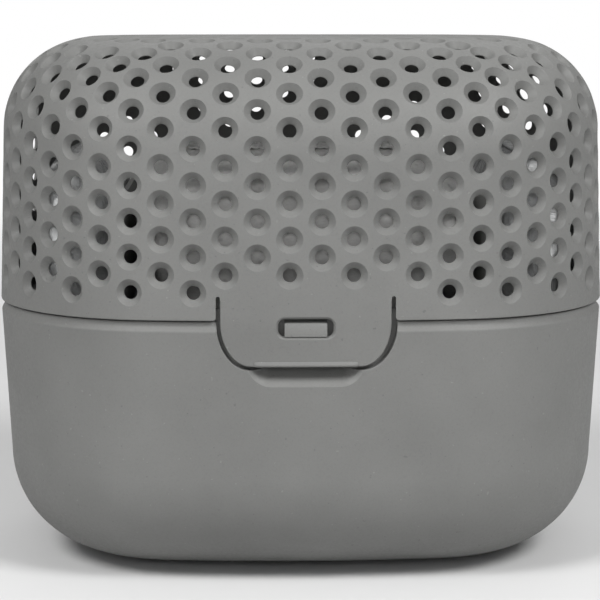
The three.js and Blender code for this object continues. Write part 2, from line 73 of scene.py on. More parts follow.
# Lines of the body
FRONT_BOW_RADIUS = 420.0
SIDE_BOW_RADIUS = 400.0
CORNER_RADIUS = 58.0
SEAM_Z = 86.0
WALL = 2.2
LID_DRAFT = 0.034
LID_EDGE_RADIUS_FRONT = 36.0
LID_EDGE_RADIUS_SIDE = 29.5
LID_LIP = 0.45
TUB_DRAFT = 0.052
TUB_EDGE_RADIUS = 34.0
RIM_GAP = 0.45
RIM_CHAMFER = 1.2
NECK_HEIGHT = 1.6
SPIGOT_INSET = 2.8
SPIGOT_THICKNESS = 1.6
SPIGOT_HEIGHT = 4.0
LEDGE_Z = 81.2
LEDGE_WIDTH = 3.0
LEDGE_HEIGHT = 4.0
STATION_COUNT = 360

# Vents
COLUMN_COUNT = 60
VENT_PITCH = 10.95
EVEN_VENT_Z = 94.5
VENT_RADIUS = 4.0
VENT_HOLE_RADIUS = 2.15
VENT_CONE_DEPTH = 1.95
VENT_SPACING = 8.35
EDGE_STRETCH = 0.08
VENT_SIDES = 24
VENT_LEVELS = 40
BACK_CLEARANCE = 3.0
TOP_CLEARANCE = 4.0
GRID_CLEARANCE = -1.5

# Latch tab and what it meets
TAB_HALF_WIDTH = 26.3
TAB_FOOT_HALF_WIDTH = 17.0
TAB_ROOT_Z = 92.2
TAB_CORNER_Z = 85.5
TAB_FOOT_Z = 71.7
SLOT_TOP_Z = 93.6
SLOT_WIDTH = 1.3
SLOT_FILLET = 1.2
POCKET_GAP = 1.2
POCKET_GAP_RIGHT = 1.95
POCKET_DEPTH = 3.6
WINDOW_HALF_WIDTH = 8.8
WINDOW_LOW_Z = 80.7
WINDOW_HIGH_Z = 86.9
WINDOW_RADIUS = 2.4
HOOK_HALF_WIDTH = 6.6
SCOOP_HALF_WIDTH = 15.2
SCOOP_LEAN = 0.2
SCOOP_LOW_Z = 66.9
SCOOP_RADIUS = 4.2
SCOOP_DEPTH = 5.4
POCKET_BACKING_HALF_WIDTH = 31.0
SCOOP_BACKING_HALF_WIDTH = 22.0
BACKING_LOW_Z = 63.0

DIVIDER_TOP_Z = 122.0

# Hinges
HINGE_X = 34.0
HINGE_Y = DEPTH / 2 + 3.2
HINGE_Z = SEAM_Z - 1.0
KNUCKLE_RADIUS = 2.9
KNUCKLE_WIDTH = 8.0
OUTER_KNUCKLE_WIDTH = 5.0
KNUCKLE_GAP = 0.3
KNUCKLE_SOFTENING = 0.25
BORE_RADIUS = 1.45
BRACKET_DROP = 14.0
ARM_RISE = 8.0


# Outline of the body ------------------------------------------------------------------------------
# Eight arcs: bowed front, back and sides, and four corners tangent to them. Everything is worked out in
# the quarter where X and Y are positive, and mirrored.

BOW_CENTRE_Y = DEPTH / 2 - FRONT_BOW_RADIUS
BOW_CENTRE_X = WIDTH / 2 - SIDE_BOW_RADIUS


def tangent_corner():
    """Centre of the circle that touches the back bow and the side bow from inside."""
    to_back = FRONT_BOW_RADIUS - CORNER_RADIUS
    to_side = SIDE_BOW_RADIUS - CORNER_RADIUS
    back = np.array([0.0, BOW_CENTRE_Y])
    along = np.array([BOW_CENTRE_X, 0.0]) - back
    distance = np.hypot(*along)
    along = along / distance
    reach = (to_back**2 - to_side**2 + distance**2) / (2 * distance)
    return back + along * reach + np.array([along[1], -along[0]]) * math.sqrt(to_back**2 - reach**2)


CORNER = tangent_corner()
BACK_ANGLE = math.atan2(CORNER[1] - BOW_CENTRE_Y, CORNER[0])
SIDE_ANGLE = math.atan2(CORNER[1], CORNER[0] - BOW_CENTRE_X)
FRONT_LENGTH = FRONT_BOW_RADIUS * (math.pi / 2 - BACK_ANGLE)
CORNER_LENGTH = CORNER_RADIUS * (BACK_ANGLE - SIDE_ANGLE)
QUARTER = FRONT_LENGTH + CORNER_LENGTH + SIDE_BOW_RADIUS * SIDE_ANGLE


def outline(s):
    """Points and outward normals at distances s along the outline, from the middle of the front to the
    right."""
    s = np.asarray(s, float) % (4 * QUARTER)
    turn = np.floor(s / QUARTER).astype(int) % 4
    q = s - turn * QUARTER
    q = np.where(turn % 2 == 1, QUARTER - q, q)
    on_front = q <= FRONT_LENGTH
    on_corner = q <= FRONT_LENGTH + CORNER_LENGTH
    angle = np.where(
        on_front,
        math.pi / 2 - q / FRONT_BOW_RADIUS,
        np.where(
            on_corner,
            BACK_ANGLE - (q - FRONT_LENGTH) / CORNER_RADIUS,
            (QUARTER - q) / SIDE_BOW_RADIUS,
        ),
    )
    centre_x = np.where(on_front, 0.0, np.where(on_corner, CORNER[0], BOW_CENTRE_X))
    centre_y = np.where(on_front, BOW_CENTRE_Y, np.where(on_corner, CORNER[1], 0.0))
    radius = np.where(on_front, FRONT_BOW_RADIUS, np.where(on_corner, CORNER_RADIUS, SIDE_BOW_RADIUS))
    sign = np.stack([np.where(turn < 2, 1.0, -1.0), np.where((turn == 0) | (turn == 3), -1.0, 1.0)], -1)
    normal = np.stack([np.cos(angle), np.sin(angle)], -1)
    centre = np.stack([centre_x, centre_y], -1)
    return sign * (centre + radius[..., None] * normal), sign * normal


def outline_normal(xy):
    """The outline normal that passes through each point, and how far inside the outline the point lies."""
    sign = np.where(xy < 0, -1.0, 1.0)
    p = np.abs(xy)
    from_back = p - [0.0, BOW_CENTRE_Y]
    from_side = p - [BOW_CENTRE_X, 0.0]
    from_corner = p - CORNER
    on_back = np.arctan2(from_back[:, 1], from_back[:, 0]) >= BACK_ANGLE
    on_side = np.arctan2(from_side[:, 1], from_side[:, 0]) <= SIDE_ANGLE
    reach = np.where(on_back[:, None], from_back, np.where(on_side[:, None], from_side, from_corner))
    radius = np.where(on_back, FRONT_BOW_RADIUS, np.where(on_side, SIDE_BOW_RADIUS, CORNER_RADIUS))
    length = np.linalg.norm(reach, axis=1)
    return sign * reach / np.maximum(length, 1e-9)[:, None], radius - length


STATIONS, STATION_NORMALS = outline(np.arange(STATION_COUNT) * 4 * QUARTER / STATION_COUNT)


def ring(inset, z):
    """A ring round the body: inset and z are numbers, or one value for each station."""
    inset = np.broadcast_to(inset, STATION_COUNT)
    z = np.broadcast_to(z, STATION_COUNT)
    return np.column_stack([STATIONS - STATION_NORMALS * inset[:, None], z])


def front_y(x, z):
    """The Y of the body's front face, lid and tab above the seam and tub below it."""
    draft = np.where(z > SEAM_Z, LID_DRAFT * (z - SEAM_Z), TUB_DRAFT * (SEAM_Z - z))
    return -(BOW_CENTRE_Y + np.sqrt(FRONT_BOW_RADIUS**2 - np.asarray(x) ** 2)) + draft


# Meshes -------------------------------------------------------------------------------------------

SKIN_FACING = 0.985
SKIN_TOLERANCE = 0.05


def place_in_scene(name, data):
    """An object in the scene that shows a mesh, a light or a camera."""
    item = bpy.data.objects.new(name, data)
    bpy.context.scene.collection.objects.link(item)
    return item


def new_object(name, points, faces):
    """A mesh object from points in the body's millimetres."""
    points = (np.asarray(points, float) + [0, BODY_Y, 0]) * MM
    mesh = bpy.data.meshes.new(name)
    mesh.from_pydata(points.tolist(), [], [tuple(int(i) for i in face) for face in faces])
    mesh.validate()
    return place_in_scene(name, mesh)


def mesh_points(mesh):
    points = np.empty(len(mesh.vertices) * 3)
    mesh.vertices.foreach_get("co", points)
    return points.reshape(-1, 3)


def set_points(mesh, points):
    mesh.vertices.foreach_set("co", points.ravel())
    mesh.update()


def apply_modifiers(piece):
    depsgraph = bpy.context.evaluated_depsgraph_get()
    result = bpy.data.meshes.new_from_object(piece.evaluated_get(depsgraph))
    piece.modifiers.clear()
    old = piece.data
    piece.data = result
    bpy.data.meshes.remove(old)


def loft(rings, caps=True):
    """Points and faces of a closed body through rings with equal counts, each running anticlockwise
    when seen from the last ring."""
    count = len(rings[0])
    points = np.concatenate(rings)
    faces = []
    for r in range(len(rings) - 1):
        a = r * count
        for i in range(count):
            j = (i + 1) % count
            faces.append((a + i, a + j, a + count + j, a + count + i))
    if caps:
        faces.append(tuple(range(count))[::-1])
        faces.append(tuple(range(len(points) - count, len(points))))
    return points, faces


def shell_object(name, pole_z, rings, last_pole_z):
    """A body of rings round the Z axis, closed by a fan at each end."""
    points, faces = loft(rings, caps=False)
    count = STATION_COUNT
    first = len(points)
    last = first + 1
    points = np.concatenate([points, [[0, 0, pole_z], [0, 0, last_pole_z]]])
    for i in range(count):
        j = (i + 1) % count
        faces.append((first, j, i))
        faces.append((last, first - count + i, first - count + j))
    return new_object(name, points, faces)


def joined(parts):
    """One list of points and faces from several."""
    points, faces, offset = [], [], 0
    for part_points, part_faces in parts:
        points.append(part_points)
        faces += [tuple(i + offset for i in face) for face in part_faces]
        offset += len(part_points)
    return np.concatenate(points), faces


def boolean(piece, operation, points, faces):
    """Cuts or joins closed bodies, given as points and faces, and applies the result."""
    tool = new_object("tool", points, faces)
    modifier = piece.modifiers.new("boolean", "BOOLEAN")
    modifier.operation = operation
    modifier.solver = "MANIFOLD"
    modifier.object = tool
    apply_modifiers(piece)
    bpy.data.objects.remove(tool)


def shade(piece, skin_normals=None, angle=40.0):
    """Smooth shading with sharp edges. Where a face lies on the moulded skin, its corners take the skin's
    exact normals, so that cuts leave no shading marks."""
    mesh = piece.data
    mesh.shade_smooth()
    mesh.set_sharp_from_angle(angle=math.radians(angle))
    if skin_normals is None:
        return
    corner_count = len(mesh.loops)
    normals = np.empty(corner_count * 3)
    mesh.corner_normals.foreach_get("vector", normals)
    normals = normals.reshape(-1, 3)
    exact, off_skin = skin_normals(mesh_points(mesh) / MM - [0, BODY_Y, 0])
    corner_vertex = np.empty(corner_count, int)
    mesh.loops.foreach_get("vertex_index", corner_vertex)
    sizes = np.empty(len(mesh.polygons), int)
    mesh.polygons.foreach_get("loop_total", sizes)
    face_normals = np.empty(len(mesh.polygons) * 3)
    mesh.polygon_normals.foreach_get("vector", face_normals)
    corner_face = np.repeat(np.arange(len(sizes)), sizes)
    facing = np.einsum("ij,ij->i", face_normals.reshape(-1, 3)[corner_face], exact[corner_vertex])
    fits = (facing > SKIN_FACING) & (off_skin[corner_vertex] < SKIN_TOLERANCE)
    off_face = np.zeros(len(sizes), int)
    np.add.at(off_face, corner_face, ~fits)
    on_skin = off_face[corner_face] == 0
    normals[on_skin] = exact[corner_vertex][on_skin]
    mesh.normals_split_custom_set(normals.tolist())


# Lid ----------------------------------------------------------------------------------------------

START_TURN = math.atan(LID_DRAFT)


def lid_edge_radius(normal):
    blend = np.abs(normal[..., 1]) ** 1.5
    return LID_EDGE_RADIUS_SIDE + (LID_EDGE_RADIUS_FRONT - LID_EDGE_RADIUS_SIDE) * blend


def lid_arc_centre(normal):
    """Inset and height of the centre of the edge's rounding."""
    radius = lid_edge_radius(normal)
    spring_z = TOP_Z - radius + radius * math.sin(START_TURN)
    return LID_DRAFT * (spring_z - SEAM_Z) + radius * math.cos(START_TURN), TOP_Z - radius


def lid_section(normal, way, depth=0.0):
    """Inset, height and turn of the lid's section after going a way up from the seam and over the edge."""
    radius = lid_edge_radius(normal)
    centre_inset, centre_z = lid_arc_centre(normal)
    wall = centre_z + radius * math.sin(START_TURN) - SEAM_Z
    turn = np.clip(START_TURN + (way - wall) / radius, START_TURN, math.pi / 2)
    rise = np.minimum(way, wall)
    over = np.maximum(way - wall - radius * (math.pi / 2 - START_TURN), 0)
    on_wall = way <= wall
    inset = np.where(on_wall, LID_DRAFT * rise + depth, centre_inset - (radius - depth) * np.cos(turn) + over)
    z = np.where(on_wall, SEAM_Z + rise, centre_z + (radius - depth) * np.sin(turn))
    return inset, z, turn


def lid_rings(depth):
    """Rings of the lid's face that lies depth below its skin, from the seam up."""
    radius = lid_edge_radius(STATION_NORMALS)
    centre_inset, centre_z = lid_arc_centre(STATION_NORMALS)
    wall = centre_z + radius * math.sin(START_TURN) - SEAM_Z
    reach = radius - depth
    rings = []
    for share in np.linspace(0, 1, 16)[:-1]:
        rings.append(ring(LID_DRAFT * wall * share + depth, SEAM_Z + wall * share))
    for turn in np.linspace(START_TURN, math.pi / 2, 40):
        rings.append(ring(centre_inset - reach * math.cos(turn), centre_z + reach * math.sin(turn)))
    return rings


def lid_skin_normals(points):
    normal, inset = outline_normal(points[:, :2])
    radius = lid_edge_radius(normal)
    centre_inset, centre_z = lid_arc_centre(normal)
    up = points[:, 2] - centre_z
    turn = np.clip(np.arctan2(up, np.maximum(centre_inset - inset, 1e-9)), START_TURN, math.pi / 2)
    on_wall = up <= radius * math.sin(START_TURN)
    turn = np.where(on_wall, START_TURN, turn)
    flat = inset >= centre_inset
    turn = np.where(flat & ~on_wall, math.pi / 2, turn)
    exact = np.column_stack([normal * np.cos(turn)[:, None], np.sin(turn)])
    wall_off = np.abs(inset - LID_DRAFT * (points[:, 2] - SEAM_Z))
    arc_off = np.abs(np.hypot(centre_inset - inset, up) - radius)
    top_off = np.abs(points[:, 2] - TOP_Z)
    return exact, np.where(on_wall, wall_off, np.where(flat, top_off, arc_off))


def vent_places():
    """Centre, axis and column of every vent: staggered columns up the wall and over the edge, thinned where
    they draw together at the corners, and the front's columns carried on over the top."""
    pitch = 4 * QUARTER / COLUMN_COUNT
    middles, normals = outline((np.arange(COLUMN_COUNT) + 0.5) * pitch)
    first_way = EVEN_VENT_Z - SEAM_Z
    radius = lid_edge_radius(normals)
    edge_way = lid_arc_centre(normals)[1] - SEAM_Z + radius * math.pi / 2
    places = []

    def place(column, way):
        normal = normals[column]
        inset, z, turn = lid_section(normal, way)
        xy = middles[column] - normal * inset
        centre = np.array([xy[0], xy[1], z])
        if over_tab(centre) or any(np.linalg.norm(centre - other[0]) < VENT_SPACING for other in places):
            return
        axis = np.array([normal[0] * math.cos(turn), normal[1] * math.cos(turn), math.sin(turn)])
        places.append((centre, axis, column))

    for level in range(VENT_LEVELS):
        for column in range(level % 2, COLUMN_COUNT, 2):
            way = first_way + level * VENT_PITCH / 2
            way += EDGE_STRETCH * max(way - (TOP_Z - LID_EDGE_RADIUS_FRONT - SEAM_Z), 0)
            back = normals[column][1] > 0
            across = abs(middles[column][0]) < CORNER[0] * 1.2
            reach = edge_way[column] - BACK_CLEARANCE if back or not across else edge_way[column] + DEPTH
            inset = lid_section(normals[column], way)[0]
            beyond = middles[column][1] - normals[column][1] * inset
            if way <= reach and (back or beyond < -FRONT - LID_EDGE_RADIUS_FRONT - TOP_CLEARANCE):
                place(column, way)
    for x, y in top_grid():
        if all(np.linalg.norm(other[0] - [x, y, TOP_Z]) >= VENT_SPACING for other in places):
            places.append((np.array([x, y, TOP_Z]), np.array([0.0, 0.0, 1.0]), len(places) % 2))
    return places


def top_grid():
    """Staggered places that fill the flat top beside the columns carried over from the front."""
    pitch_x = 4 * QUARTER / COLUMN_COUNT
    spots = []
    for column in range(-9, 10):
        for row in range(-7, 8):
            spots.append((column * pitch_x, (row + column % 2 / 2) * VENT_PITCH))
    spots = np.array(sorted(spots, key=lambda spot: (abs(spot[0]), spot[1])))
    normal, inset = outline_normal(spots)
    return spots[inset >= lid_arc_centre(normal)[0] + GRID_CLEARANCE]


def over_tab(centre):
    """The lowest row leaves the latch tab's root free."""
    return abs(centre[0]) < TAB_HALF_WIDTH + 1 and centre[1] < 0 and centre[2] < EVEN_VENT_Z + 2


def vent_cutter(centre, axis):
    """A countersink with a rounded lip, and the hole through the wall."""
    profile = [
        (VENT_RADIUS + 0.55, 0.3),
        (VENT_RADIUS + 0.36, 0.03),
        (VENT_RADIUS + 0.2, -0.03),
        (VENT_RADIUS + 0.08, -0.12),
        (VENT_RADIUS - 0.06, -0.3),
        (VENT_HOLE_RADIUS + 0.06, -VENT_CONE_DEPTH),
        (VENT_HOLE_RADIUS, -VENT_CONE_DEPTH - 0.08),
        (VENT_HOLE_RADIUS, -WALL - 1.2),
    ]
    side = np.cross(axis, [0, 0, 1.0] if abs(axis[2]) < 0.9 else [0, 1.0, 0])
    side = side / np.linalg.norm(side)
    up = np.cross(axis, side)
    angle = np.arange(VENT_SIDES) * 2 * math.pi / VENT_SIDES
    circle = np.cos(angle)[:, None] * side + np.sin(angle)[:, None] * up
    rings = [centre + circle * radius + axis * height for radius, height in reversed(profile)]
    return loft(rings)


def front_cutter(shape, profile):
    """Closed body cut into the front along its skin: shape is an outline in X and Z, anticlockwise from the
    front, and each profile entry is a depth and how far the outline is grown there."""
    shape = np.asarray(shape, float)
    along = np.roll(shape, -1, 0) - np.roll(shape, 1, 0)
    outward = np.column_stack([along[:, 1], -along[:, 0]]) / np.linalg.norm(along, axis=1)[:, None]
    rings = []
    for depth, grow in profile:
        grown = shape + outward * grow
        rings.append(np.column_stack([grown[:, 0], front_y(grown[:, 0], grown[:, 1]) + depth, grown[:, 1]]))
    return loft(rings[::-1])


def arc(centre_x, centre_z, radius_x, radius_z, start, end, steps=10):
    """Points of an elliptical arc in X and Z, between two angles in degrees."""
    angle = np.radians(np.linspace(start, end, steps + 1))
    return np.column_stack([centre_x + radius_x * np.cos(angle), centre_z + radius_z * np.sin(angle)])


def line(start, end, steps):
    """Points of a straight stretch, without its last point."""
    share = np.arange(steps)[:, None] / steps
    return np.array(start) * (1 - share) + np.array(end) * share


def rounded_rectangle(x0, x1, z0, z1, radius, steps=8):
    return np.concatenate(
        [
            arc(x1 - radius, z0 + radius, radius, radius, -90, 0, steps),
            arc(x1 - radius, z1 - radius, radius, radius, 0, 90, steps),
            arc(x0 + radius, z1 - radius, radius, radius, 90, 180, steps),
            arc(x0 + radius, z0 + radius, radius, radius, 180, 270, steps),
        ]
    )


def tab_opening():
    """Outline of what the lid leaves out for the tab: the tab itself and the two slots beside it."""
    inner = TAB_HALF_WIDTH
    outer = inner + SLOT_WIDTH
    round_z = SLOT_TOP_Z - SLOT_WIDTH / 2
    low = SEAM_Z - 6
    middle = inner + SLOT_WIDTH / 2
    half = SLOT_WIDTH / 2
    right = [
        line((outer + SLOT_FILLET, low), (outer + SLOT_FILLET, SEAM_Z), 4),
        arc(outer + SLOT_FILLET, SEAM_Z + SLOT_FILLET, SLOT_FILLET, SLOT_FILLET, 270, 180, 5),
        line((outer, SEAM_Z + SLOT_FILLET + 0.5), (outer, round_z - 0.3), 4),
        arc(middle, round_z, half, half, 0, 180, 8),
        line((inner, TAB_ROOT_Z + 0.02), (inner, TAB_ROOT_Z), 1),
    ]
    right = np.concatenate(right)
    left = (right * [-1, 1])[::-1]
    top = line((inner - 0.5, TAB_ROOT_Z), (-inner + 0.5, TAB_ROOT_Z), 30)
    bottom = line((-outer - SLOT_FILLET, low), (outer + SLOT_FILLET, low), 30)[1:]
    return np.concatenate([right, top, left, bottom])


def make_lid():
    outer = lid_rings(0.0)
    inner = lid_rings(WALL)
    lip = [ring(LID_LIP, SEAM_Z), ring(0.12, SEAM_Z + 0.12)]
    outer[0] = ring(LID_DRAFT * LID_LIP, SEAM_Z + LID_LIP)
    inner[0] = ring(WALL, SEAM_Z)
    lid = shell_object("lid", TOP_Z - WALL, inner[::-1] + lip + outer, TOP_Z)
    places = vent_places()
    for parity in (0, 1):
        cutters = [vent_cutter(centre, axis) for centre, axis, column in places if column % 2 == parity]
        boolean(lid, "DIFFERENCE", *joined(cutters))
    boolean(lid, "DIFFERENCE", *front_cutter(tab_opening(), [(-5, 0.0), (12, 0.0)]))
    shade(lid, lid_skin_normals)
    return lid


# Latch tab ----------------------------------------------------------------------------------------


def tab_outline(grow=0.0, grow_right=0.0, top_z=TAB_ROOT_Z):
    """The tab seen from the front, its foot drawn in by two quarter ellipses."""
    foot = TAB_FOOT_HALF_WIDTH
    rise = TAB_CORNER_Z - TAB_FOOT_Z + grow
    reach_left = TAB_HALF_WIDTH + grow - foot
    reach_right = reach_left + grow_right
    return np.concatenate(
        [
            line((-foot, TAB_FOOT_Z - grow), (foot, TAB_FOOT_Z - grow), 20),
            arc(foot, TAB_CORNER_Z, reach_right, rise, 270, 360, 24),
            line((foot + reach_right, TAB_CORNER_Z + 0.5), (foot + reach_left, top_z), 6),
            line((foot + reach_left, top_z), (-foot - reach_left, top_z), 30),
            line((-foot - reach_left, top_z), (-foot - reach_left, TAB_CORNER_Z + 0.5), 6),
            arc(-foot, TAB_CORNER_Z, reach_left, rise, 180, 270, 24)[:-1],
        ]
    )


def tab_skin_normals(points):
    normal, _ = outline_normal(points[:, :2])
    z = points[:, 2]
    slope = np.interp(z, [SEAM_Z - 3, SEAM_Z + 2], [-TUB_DRAFT, LID_DRAFT])
    exact = np.column_stack([normal, slope])
    exact /= np.linalg.norm(exact, axis=1)[:, None]
    return exact, np.abs(points[:, 1] - front_y(points[:, 0], z))


def tab_lip():
    """The thumb lip along the foot of the tab: a low ridge that leans out."""
    half = TAB_FOOT_HALF_WIDTH - 1.0
    rings = []
    for x in np.linspace(-half, half, 40):
        fade = min(1.0, (half - abs(x)) / 1.2 + 0.15)
        y = float(front_y(x, TAB_FOOT_Z + 1))
        section = [
            (y + 1.5, TAB_FOOT_Z + 0.05),
            (y + 1.5, TAB_FOOT_Z + 1.9),
            (y + 0.05, TAB_FOOT_Z + 1.75),
            (y - 0.35 * fade, TAB_FOOT_Z + 1.3),
            (y - 0.72 * fade, TAB_FOOT_Z + 0.85),
            (y - 0.8 * fade, TAB_FOOT_Z + 0.55),
            (y - 0.7 * fade, TAB_FOOT_Z + 0.25),
            (y - 0.4 * fade, TAB_FOOT_Z + 0.05),
        ]
        rings.append(np.array([(x, section_y, section_z) for section_y, section_z in section]))
    return loft(rings)


def tab_blank():
    """A plate that follows the front's skin, larger than the tab and cut off at its root, as a fine grid."""
    xs = np.linspace(-TAB_HALF_WIDTH - 3, TAB_HALF_WIDTH + 3, 61)
    zs = np.concatenate([np.linspace(TAB_FOOT_Z - 3, SEAM_Z, 12), np.linspace(SEAM_Z, TAB_ROOT_Z, 8)[1:]])
    grid_x, grid_z = np.meshgrid(xs, zs)
    rows, columns = grid_x.shape
    front = front_y(grid_x, grid_z)
    points = np.concatenate(
        [np.stack([grid_x, front + depth, grid_z], -1).reshape(-1, 3) for depth in (0.0, WALL)]
    )
    back = rows * columns
    faces = []
    for r in range(rows - 1):
        for c in range(columns - 1):
            a = r * columns + c
            quad = (a, a + 1, a + columns + 1, a + columns)
            faces.append(quad)
            faces.append(tuple(i + back for i in reversed(quad)))
    bottom = list(range(columns))
    right = [r * columns + columns - 1 for r in range(rows)]
    top = [rows * columns - 1 - c for c in range(columns)]
    left = [(rows - 1 - r) * columns for r in range(rows)]
    rim = bottom + right[1:] + top[1:] + left[1:]
    for a, b in zip(rim[:-1], rim[1:]):
        faces.append((b, a, a + back, b + back))
    return points, faces


def make_tab():
    tab = new_object("latch_tab_skin", *tab_blank())
    edge = [(-1.0, -0.55), (-0.02, -0.42), (0.08, -0.2), (0.24, -0.05), (0.5, 0.0), (WALL + 1, 0.0)]
    boolean(tab, "INTERSECT", *front_cutter(tab_outline(top_z=SLOT_TOP_Z + 2), edge))
    half = WINDOW_HALF_WIDTH
    window = rounded_rectangle(-half, half, WINDOW_LOW_Z, WINDOW_HIGH_Z, WINDOW_RADIUS)
    flare = [(-1.0, 0.75), (-0.02, 0.55), (0.12, 0.3), (0.4, 0.02), (1.0, -0.3), (5.0, -0.4)]
    boolean(tab, "DIFFERENCE", *front_cutter(window, flare))
    boolean(tab, "UNION", *tab_lip())
    shade(tab, tab_skin_normals)
    return tab


# Tub ----------------------------------------------------------------------------------------------

SPRING_Z = TUB_BOTTOM_Z + TUB_EDGE_RADIUS


def tub_inset(z):
    return TUB_DRAFT * (SEAM_Z - z)


def tub_rings(depth):
    """Rings of the tub's face that lies depth inside its skin, from the bottom up to the start of the rim."""
    centre_inset = tub_inset(SPRING_Z) + TUB_EDGE_RADIUS
    reach = TUB_EDGE_RADIUS - depth
    return [
        ring(centre_inset - reach * math.cos(turn), SPRING_Z - reach * math.sin(turn))
        for turn in np.linspace(math.pi / 2, 0, 36)
    ]


def tub_skin_normals(points):
    normal, inset = outline_normal(points[:, :2])
    z = points[:, 2]
    centre_inset = tub_inset(SPRING_Z) + TUB_EDGE_RADIUS
    down = np.maximum(SPRING_Z - z, 0)
    turn = np.arctan2(down, np.maximum(centre_inset - inset, 1e-9))
    turn = np.where(inset >= centre_inset, math.pi / 2, turn)
    turn = np.where(z >= SPRING_Z, 0.0, turn)
    lean = TUB_DRAFT * np.clip(1 - turn / 0.3, 0, 1)
    turn = turn + lean
    exact = np.column_stack([normal * np.cos(turn)[:, None], -np.sin(turn)])
    wall_off = np.abs(inset - tub_inset(z))
    arc_off = np.abs(np.hypot(centre_inset - inset, down) - TUB_EDGE_RADIUS)
    flat_off = np.abs(z - TUB_BOTTOM_Z)
    off = np.where(z >= SPRING_Z, wall_off, np.where(inset >= centre_inset, flat_off, arc_off))
    return exact, off


def backing(half_width, y0, y1, z0, z1):
    """A block behind the front wall, for a recess to be cut into."""
    low = np.array([(-half_width, y0, z0), (half_width, y0, z0), (half_width, y1, z0), (-half_width, y1, z0)])
    return loft([low, low + [0, 0, z1 - z0]])


def hook_body():
    """The wedge that the tab's window catches on: nearly flush, with softened edges."""
    low = WINDOW_LOW_Z + 0.25
    ends = [(HOOK_HALF_WIDTH - back, shrink) for back, shrink in ((0.35, 0.0), (0.1, 0.1), (0.0, 0.35))]
    rings = []
    for x, shrink in [(-x, shrink) for x, shrink in reversed(ends)] + ends:
        section = [
            (FRONT + POCKET_DEPTH + 0.6, low),
            (FRONT + 0.75 + shrink, low),
            (FRONT + 0.5 + shrink, low + 0.25),
            (FRONT + 0.55 + shrink, low + 0.7),
            (FRONT + 0.95 + shrink, low + 4.0 - shrink),
            (FRONT + 1.25 + shrink, low + 4.35 - shrink),
            (FRONT + POCKET_DEPTH + 0.6, low + 4.9 - shrink),
        ]
        rings.append(np.array([(x, y, z) for y, z in section])[::-1])
    return loft(rings)


def make_tub():
    rim_z = SEAM_Z - RIM_GAP
    neck_z = rim_z - NECK_HEIGHT
    chamfer_z = neck_z - RIM_CHAMFER
    spigot_back = SPIGOT_INSET + SPIGOT_THICKNESS
    ledge_edge = spigot_back + LEDGE_WIDTH
    ledge_foot_z = LEDGE_Z - LEDGE_HEIGHT
    skirt_z = ledge_foot_z - 2 * LEDGE_WIDTH
    wall = [ring(tub_inset(z), z) for z in np.linspace(SPRING_Z, chamfer_z - 0.5, 24)[1:]]
    # Chamfer, neck, spigot and ledge, each with softened corners
    rim = [
        ring(tub_inset(chamfer_z) + 0.06, chamfer_z - 0.15),
        ring(tub_inset(chamfer_z) + 0.22, chamfer_z + 0.15),
        ring(tub_inset(chamfer_z) + 0.5, chamfer_z + 0.42),
        ring(RIM_CHAMFER - 0.15, neck_z - 0.05),
        ring(RIM_CHAMFER, neck_z + 0.2),
        ring(RIM_CHAMFER + 0.05, rim_z - 0.2),
        ring(RIM_CHAMFER + 0.25, rim_z),
        ring(SPIGOT_INSET, rim_z),
        ring(SPIGOT_INSET, rim_z + SPIGOT_HEIGHT - 0.6),
        ring(SPIGOT_INSET + 0.15, rim_z + SPIGOT_HEIGHT - 0.2),
        ring(SPIGOT_INSET + 0.5, rim_z + SPIGOT_HEIGHT),
        ring(spigot_back - 0.4, rim_z + SPIGOT_HEIGHT),
        ring(spigot_back, rim_z + SPIGOT_HEIGHT - 0.4),
        ring(spigot_back, LEDGE_Z),
        ring(ledge_edge - 0.4, LEDGE_Z),
        ring(ledge_edge, LEDGE_Z - 0.4),
        ring(ledge_edge, ledge_foot_z),
        ring(tub_inset(skirt_z) + WALL, skirt_z),
    ]
    rings = tub_rings(0.0) + wall + rim + tub_rings(WALL)[::-1]
    tub = shell_object("tub", TUB_BOTTOM_Z, rings, TUB_BOTTOM_Z + WALL)
    scoop_top_z = TAB_FOOT_Z + 6
    for half_width, start, end, top_z in (
        (POCKET_BACKING_HALF_WIDTH, 2.6, 5.6, rim_z),
        (SCOOP_BACKING_HALF_WIDTH, 3.2, SCOOP_DEPTH + WALL, scoop_top_z - 1),
    ):
        boolean(tub, "UNION", *backing(half_width, FRONT + start, FRONT + end, BACKING_LOW_Z, top_z))
    pocket = tab_outline(POCKET_GAP, POCKET_GAP_RIGHT - POCKET_GAP, SEAM_Z + 3)
    edge = [(-5, 0.6), (-0.03, 0.32), (0.08, 0.1), (0.3, 0.0), (POCKET_DEPTH, -0.1)]
    boolean(tub, "DIFFERENCE", *front_cutter(pocket, edge))
    half = SCOOP_HALF_WIDTH
    scoop = rounded_rectangle(-half, half, SCOOP_LOW_Z, scoop_top_z, SCOOP_RADIUS, 12)
    scoop[:, 0] *= 1 + SCOOP_LEAN * (scoop[:, 1] - SCOOP_LOW_Z) / (scoop_top_z - SCOOP_LOW_Z)
    slope = [(-5, 1.7), (-0.05, 1.6), (0.1, 1.4), (0.95, 0.25), (1.3, 0.0), (2.0, -0.5), (3.4, -2.0)]
    slope.append((SCOOP_DEPTH, -3.9))
    boolean(tub, "DIFFERENCE", *front_cutter(scoop, slope))
    boolean(tub, "UNION", *hook_body())
    shade(tub, tub_skin_normals)
    return tub


# Hinges -------------------------------------------------------------------------------------------


